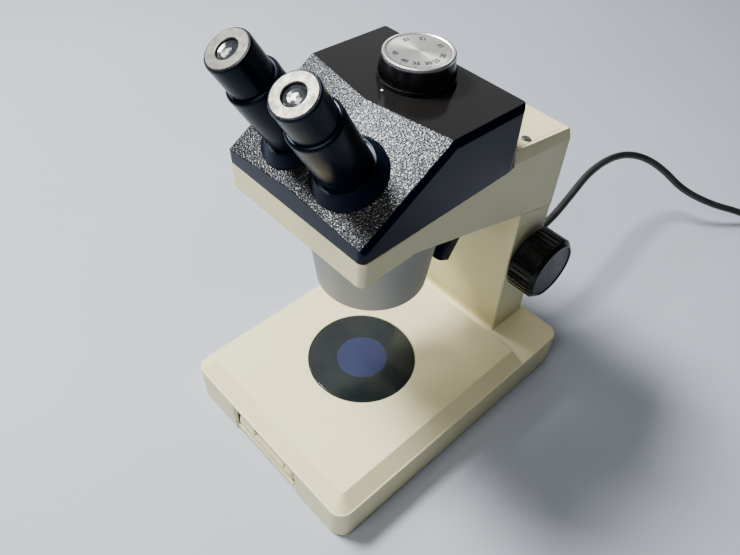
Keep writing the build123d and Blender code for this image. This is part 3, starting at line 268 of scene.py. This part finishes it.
steel = Finish("ground_steel", (0.50, 0.51, 0.53), 0.3, 1.0)
steel.smudge(120, 0.22, 0.4).soften(0.0003).bump(steel.noise(900, 2.0, 0.5, (1, 1, 0.05)), 0.00001, 0.4)
brass = Finish("turned_brass", (0.70, 0.50, 0.22), 0.3, 1.0)
brass.tint(90, (0.62, 0.43, 0.18), (0.76, 0.56, 0.26)).smudge(140, 0.24, 0.42).soften(0.0002)
zinc = Finish("zinc_plate", (0.42, 0.43, 0.43), 0.42, 1.0)
zinc.tint(45, (0.34, 0.35, 0.36), (0.50, 0.51, 0.50), detail=6).smudge(70, 0.34, 0.5).soften(0.0005)
chrome = Finish("nickel_pins", (0.72, 0.70, 0.64), 0.16, 1.0)
chrome.smudge(200, 0.12, 0.26).soften(0.0004)
mirror = Finish("polished_mirror", (0.86, 0.87, 0.88), 0.05, 1.0)
mirror.smudge(40, 0.03, 0.10)
rubber = Finish("foot_rubber", (0.020, 0.020, 0.020), 0.72)
rubber.tint(120, (0.014, 0.014, 0.014), (0.032, 0.031, 0.030)).smudge(160, 0.62, 0.82).soften(0.0004)
jacket = Finish("cord_pvc", (0.014, 0.014, 0.015), 0.38)
jacket.tint(35, (0.011, 0.011, 0.012), (0.022, 0.022, 0.022)).smudge(60, 0.32, 0.5)
jacket.bump(jacket.noise(700, 3.0), 0.00004, 0.35)
ceramic = Finish("socket_ceramic", (0.80, 0.79, 0.74), 0.25)
ceramic.tint(60, (0.74, 0.73, 0.68), (0.84, 0.83, 0.79)).soften(0.0004)

frosted = Finish("frosted_glass", (0.016, 0.022, 0.062), 0.20)
frosted.tint(35, (0.013, 0.019, 0.055), (0.020, 0.027, 0.072)).smudge(50, 0.18, 0.28)
frosted.bump(frosted.noise(4200, 2.0), 0.00001, 0.4)
plate = Finish("stage_black", (0.010, 0.014, 0.015), 0.12)
plate.tint(30, (0.008, 0.012, 0.013), (0.014, 0.018, 0.019)).smudge(45, 0.09, 0.18)
plate.edge_wear_and_highlight((0.12, 0.13, 0.12), 0.0004, 0.6).soften(0.0005)

optic = Finish("coated_lens", (0.02, 0.024, 0.03), 0.12, Coat_Weight=0.25, Coat_Roughness=0.05)
optic.shader.inputs["Specular IOR Level"].default_value = 0.3
optic.tint(400, (0.014, 0.017, 0.022), (0.030, 0.034, 0.040))
clear = Finish("bulb_glass", (0.95, 0.95, 0.93), 0.02, Transmission_Weight=0.9)
clear.tint(200, (0.90, 0.90, 0.88), (0.98, 0.98, 0.97))
paint_cover = cover_paint()
dial_metal = turned_metal("dial_metal", (0.86, 0.86, 0.84), (0, ZOOM_Y, 0), 0.32)
ink = Finish("printed_ink", (0.012, 0.012, 0.014), 0.5)
ink.tint(900, (0.008, 0.008, 0.010), (0.030, 0.030, 0.032)).smudge(400, 0.42, 0.6)
white = Finish("index_white", (0.80, 0.80, 0.78), 0.4)
white.tint(700, (0.74, 0.74, 0.71), (0.84, 0.84, 0.82)).smudge(500, 0.34, 0.5)
dark_steel = Finish("blued_steel", (0.16, 0.17, 0.17), 0.36, 1.0)
dark_steel.tint(300, (0.12, 0.13, 0.13), (0.20, 0.21, 0.21)).smudge(200, 0.3, 0.45).soften(0.0003)

FINISH = {
    "cream_plastic": cream,
    "grey_plastic": grey,
    "black_gloss": gloss,
    "black_textured": paint_cover,
    "black_matte": satin,
    "ribbed_black": ribbed,
    "brushed_dial": dial_metal,
    "silver_ring": ring_metal,
    "steel": steel,
    "brass": brass,
    "zinc_plate": zinc,
    "rubber": rubber,
    "cord_jacket": jacket,
    "frosted_glass": frosted,
    "optic_glass": optic,
    "bulb_glass": clear,
    "mirror_metal": mirror,
    "ceramic": ceramic,
    "pin_metal": chrome,
}
SPECIAL = {"stage_plate": plate, "cover_screw": dark_steel}
SLOT = {entry["node"]: entry["material_slot"] for entry in frame["record"]["subparts"]}
for name, part in nodes.items():
    finish = SPECIAL.get(name) or FINISH[SLOT[name]]
    part.data.materials.clear()
    part.data.materials.append(finish.mat)


# ---- piece builders -----------------------------------------------------------------------------
def place(name, mesh, finish, body, smooth=True):
    """A finished mesh as a piece that rides on a body."""
    piece = bpy.data.objects.new(name, mesh)
    coll.objects.link(piece)
    if smooth:
        mesh.polygons.foreach_set("use_smooth", [True] * len(mesh.polygons))
        mesh.set_sharp_from_angle(angle=radians(35))
    mesh.materials.append(finish.mat)
    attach(piece, body)
    return piece


def axes_for(axis):
    along = Vector(axis).normalized()
    across = along.orthogonal().normalized()
    return across, along.cross(across), along


def lathe(name, origin, axis, outlines, finish, body, steps=96):
    """A turned piece; each outline is a closed loop of (radius, height) in millimetres."""
    u, v, w = axes_for(axis)
    mesh_data = bmesh.new()
    for outline in outlines:
        rings = []
        for step in range(steps):
            angle = 2 * pi * step / steps
            spoke = u * cos(angle) + v * sin(angle)
            rings.append(
                [mesh_data.verts.new(Vector(origin) + (spoke * r + w * h) * 0.001) for r, h in outline]
            )
        count = len(outline)
        for step in range(steps):
            this, after = rings[step], rings[(step + 1) % steps]
            for i in range(count):
                j = (i + 1) % count
                mesh_data.faces.new((this[i], after[i], after[j], this[j]))
    bmesh.ops.remove_doubles(mesh_data, verts=mesh_data.verts, dist=1e-7)
    bmesh.ops.recalc_face_normals(mesh_data, faces=mesh_data.faces)
    mesh = bpy.data.meshes.new(name)
    mesh_data.to_mesh(mesh)
    mesh_data.free()
    return place(name, mesh, finish, body)


# ---- camera and cord ----------------------------------------------------------------------------
CAMERA_AT = (0.2751, -0.2953, 0.5741)
yaw, pitch, roll = radians(45.21), radians(47.248), radians(2.618)
ahead = Vector((-sin(yaw) * cos(pitch), cos(yaw) * cos(pitch), -sin(pitch)))
right = Vector((cos(yaw), sin(yaw), 0))
above = right.cross(ahead)
cam_x = right * cos(roll) + above * sin(roll)
cam_y = above * cos(roll) - right * sin(roll)
lens = bpy.data.cameras.new("photo_camera")
lens.lens, lens.sensor_width, lens.clip_start = 33.42, 36.0, 0.01
camera = bpy.data.objects.new("photo_camera", lens)
coll.objects.link(camera)
turn = Matrix((cam_x, cam_y, -ahead)).transposed().to_4x4()
camera.matrix_world = Matrix.Translation(CAMERA_AT) @ turn
bpy.context.scene.camera = camera

ROUTE = [
    (0.02595, 0.17402, 0.09331),
    (0.0286, 0.2023, 0.1004),
    (0.0226, 0.2444, 0.1064),
    (0.0131, 0.2916, 0.1084),
    (0.0103, 0.3342, 0.1043),
    (0.0144, 0.3693, 0.0976),
    (0.0276, 0.3970, 0.0863),
    (0.0476, 0.4139, 0.0716),
    (0.0738, 0.4270, 0.0499),
    (0.1051, 0.4528, 0.0326),
    (0.1339, 0.4867, 0.0192),
    (0.1640, 0.5060, 0.0056),
]
COIL = Vector((0.219, 0.466, 0))
COIL_OUT, COIL_IN, TURNS, ENTRY = 0.0558, 0.0378, 4.361, 110.0
POINTS_PER_TURN = 18
points = list(ROUTE)
steps = int(TURNS * POINTS_PER_TURN)
for step in range(steps + 1):
    part_way = step / steps
    angle = radians(ENTRY - 360 * TURNS * part_way)
    inward = 1 - abs(2 * part_way - 1)
    radius = COIL_OUT - (COIL_OUT - COIL_IN) * inward
    climb = min(max((part_way - 0.47) / 0.06, 0), 1)
    points.append((COIL.x + radius * cos(angle), COIL.y + radius * sin(angle), CORD_D * (0.5 + climb)))
exit_turn = radians(-20.0)
tail_dir = Vector((sin(exit_turn), -cos(exit_turn), 0))
tail = Vector((COIL.x + COIL_OUT * cos(exit_turn), COIL.y + COIL_OUT * sin(exit_turn), 0.01205))
points += [tuple(tail + tail_dir * reach) for reach in (0.014, 0.025, 0.036)]

curve = bpy.data.curves.new("mains_cord", "CURVE")
curve.dimensions = "3D"
line = curve.splines.new("NURBS")
line.points.add(len(points) - 1)
for knot, spot in zip(line.points, points):
    knot.co = (*spot, 1)
line.order_u = 3
line.use_endpoint_u = True
line.resolution_u = 8
curve.bevel_depth = CORD_D / 2
curve.bevel_resolution = 6
curve.use_fill_caps = True
curve.materials.append(jacket.mat)
cord = bpy.data.objects.new("mains_cord", curve)
coll.objects.link(cord)
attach(cord, "base")
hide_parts("cord_run", "cord_coil")

relief_axis = (Vector(ROUTE[1]) - Vector(ROUTE[0])).normalized()
relief_foot = Vector(ROUTE[0]) - relief_axis * RELIEF_LENGTH
outline = [(4.15, -8), (5.9, -8), (5.9, 3.4), (8.8, 3.4), (8.8, 5.4)]
for rib in range(9):
    at = 7.0 + rib * 3.1
    size = 7.6 - rib * 0.25
    outline += [(size - 1.1, at - 0.2), (size, at + 0.2), (size, at + 1.7), (size - 1.1, at + 2.1)]
outline += [(5.0, 36.5), (4.9, 38.0), (4.15, 38.0)]
relief = lathe("cord_relief", relief_foot, relief_axis, [outline], jacket, "base")
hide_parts("strain_relief")


# ---- printed and small pieces -------------------------------------------------------------------
def flat_mesh(name, outlines, frame_at, thick, finish, body):
    """Thin raised print: outlines in millimetres on a plane given as a matrix."""
    made = bmesh.new()
    for outline in outlines:
        low = [made.verts.new(frame_at @ Vector((x * 0.001, y * 0.001, 0))) for x, y in outline]
        high = [made.verts.new(frame_at @ Vector((x * 0.001, y * 0.001, thick * 0.001))) for x, y in outline]
        made.faces.new(high)
        made.faces.new(low[::-1])
        for i in range(len(outline)):
            j = (i + 1) % len(outline)
            made.faces.new((low[i], low[j], high[j], high[i]))
    bmesh.ops.recalc_face_normals(made, faces=made.faces)
    mesh = bpy.data.meshes.new(name)
    made.to_mesh(mesh)
    made.free()
    return place(name, mesh, finish, body, smooth=False)


def bar(x, y, width, height):
    return [(x - width / 2, y - height / 2), (x + width / 2, y - height / 2),
            (x + width / 2, y + height / 2), (x - width / 2, y + height / 2)]


DIAL_TOP = 347.0
DIAL_MARKS = ((166, "10"), (125, "12"), (73, "15"), (27, "20"), (-2, "25"),
              (-24, "30"), (-52, "35"), (-81, "40"), (-120, "45"))
numerals = bmesh.new()
for degree, label in DIAL_MARKS:
    spoke = Vector((cos(radians(degree)), sin(radians(degree)), 0))
    up = -spoke
    side = up.cross(Vector((0, 0, 1)))
    spot = Vector((0, ZOOM_Y, DIAL_TOP * 0.001)) + spoke * 0.0163
    stand = Matrix.Translation(spot) @ Matrix((side, up, Vector((0, 0, 1)))).transposed().to_4x4()
    text = bpy.data.curves.new("numeral", "FONT")
    text.body, text.size, text.extrude, text.offset = label, 0.0051, 0.00006, 0.00020
    text.align_x, text.align_y = "CENTER", "CENTER"
    holder = bpy.data.objects.new("numeral", text)
    coll.objects.link(holder)
    bpy.context.view_layer.update()
    shape = bpy.data.meshes.new_from_object(holder.evaluated_get(bpy.context.evaluated_depsgraph_get()))
    shape.transform(stand)
    numerals.from_mesh(shape)
    bpy.data.objects.remove(holder)
    bpy.data.curves.remove(text)
    bpy.data.meshes.remove(shape)
numeral_mesh = bpy.data.meshes.new("dial_numerals")
numerals.to_mesh(numeral_mesh)
numerals.free()
place("dial_numerals", numeral_mesh, ink, "zoom_control", smooth=False)

dial_at = Matrix.Translation((0, ZOOM_Y, DIAL_TOP * 0.001))
ticks = []
for degree, label in DIAL_MARKS:
    spoke = Vector((cos(radians(degree)), sin(radians(degree)), 0))
    side = Vector((-spoke.y, spoke.x, 0))
    corners = ((19.2, -0.2), (20.8, -0.2), (20.8, 0.2), (19.2, 0.2))
    ticks.append([tuple((spoke * r + side * w).xy) for r, w in corners])
flat_mesh("dial_ticks", ticks, dial_at, 0.03, ink, "zoom_control")
zoom_axis = (0, ZOOM_Y, 0)
ring_line = [(21.15, DIAL_TOP), (21.5, DIAL_TOP), (21.5, DIAL_TOP + 0.04), (21.15, DIAL_TOP + 0.04)]
lathe("dial_ring_line", zoom_axis, (0, 0, 1), [ring_line], ink, "zoom_control")

COVER_TOP = 329.44
pip = [(0, -0.6), (0.95, -0.6), (0.95, 0.25), (0.7, 0.55), (0.35, 0.68), (0, 0.72)]
pip_at = (-0.0013, OPT_Y + 0.0105, COVER_TOP * 0.001)
lathe("index_pip", pip_at, (0, 0.04, 1), [pip], white, "head", 32)
mark_at = Matrix.Translation((-0.0012, OPT_Y + 0.0105, (COVER_TOP - 0.05) * 0.001))
flat_mesh("index_line", [bar(0, 2.3, 0.7, 2.0)], mark_at, 0.12, satin, "head")
knob_pip_at = (-0.0252, OPT_Y + 0.0367, 0.3428)
lathe("knob_pip", knob_pip_at, (-1, -0.2, 0.35), [pip], white, "zoom_control", 32)

ROLLER_AXIS = Vector((0, -0.1296, 0.0184))


def on_roller(x, degree):
    """A frame on the roller's front, at a distance along it and an angle above level."""
    out = Vector((0, -cos(radians(degree)), sin(radians(degree))))
    up = Vector((0, sin(radians(degree)), cos(radians(degree))))
    reach = 0.0160 - 0.0004 * (x / 35) ** 2 - 0.00001
    spot = ROLLER_AXIS + Vector((x * 0.001, 0, 0)) + out * reach
    return Matrix.Translation(spot) @ Matrix((Vector((1, 0, 0)), up, out)).transposed().to_4x4()


def stroke(a, b, width):
    along = (Vector(b) - Vector(a)).normalized() * width / 2
    side = Vector((-along.y, along.x))
    return [tuple(Vector(a) - along - side), tuple(Vector(b) + along - side),
            tuple(Vector(b) + along + side), tuple(Vector(a) - along + side)]


triangle = [(-2.1, 1.6), (2.1, 1.6), (0, -1.9)]
strokes = [stroke(triangle[i], triangle[(i + 1) % 3], 0.75) for i in range(3)]
flat_mesh("roller_mark_open", strokes, on_roller(-13.6, 25), 0.12, ink, "roller")
strokes = [stroke((0, 1.9), (0, -1.9), 0.95)]
flat_mesh("roller_mark_bar", strokes, on_roller(27.9, 22), 0.12, ink, "roller")

# ---- floor and light ----------------------------------------------------------------------------
floor_mesh = bpy.data.meshes.new("studio_floor")
floor_mesh.from_pydata([(-3, -3, 0), (3, -3, 0), (3, 3, 0), (-3, 3, 0)], [], [(0, 1, 2, 3)])
floor = bpy.data.objects.new("studio_floor", floor_mesh)
coll.objects.link(floor)
floor_paint = Finish("studio_floor", (0.38, 0.42, 0.50), 0.7)
floor_paint.tint(3, (0.37, 0.41, 0.49), (0.39, 0.43, 0.51)).bump(floor_paint.noise(900, 2.0), 0.00005, 0.3)
floor_mesh.materials.append(floor_paint.mat)


def area_light(name, spot, target, size, power, color):
    light = bpy.data.lights.new(name, "AREA")
    light.shape, light.size, light.size_y = "RECTANGLE", size[0], size[1]
    light.energy, light.color = power, color
    lamp = bpy.data.objects.new(name, light)
    coll.objects.link(lamp)
    lamp.location = spot
    lamp.rotation_euler = (Vector(target) - Vector(spot)).to_track_quat("-Z", "Y").to_euler()


area_light("key", (-0.86, -0.46, 1.74), (0, 0, 0.15), (0.5, 0.4), 84, (1.0, 0.975, 0.92))
area_light("window", (-1.08, -0.21, 1.22), (0, -0.05, 0.3), (0.34, 0.30), 9, (0.98, 0.99, 1.0))
area_light("back_panel", (-0.90, 1.02, 1.15), (0, 0, 0.3), (1.6, 1.7), 6.5, (1.0, 0.99, 0.97))
area_light("front_fill", (0.10, -1.10, 1.50), (0, 0, 0.05), (0.8, 0.6), 15, (1.0, 0.97, 0.90))
world = bpy.data.worlds.new("soft_room")
world.use_nodes = True
world.node_tree.nodes["Background"].inputs["Color"].default_value = (0.66, 0.76, 1.0, 1)
world.node_tree.nodes["Background"].inputs["Strength"].default_value = 0.035
bpy.context.scene.world = world
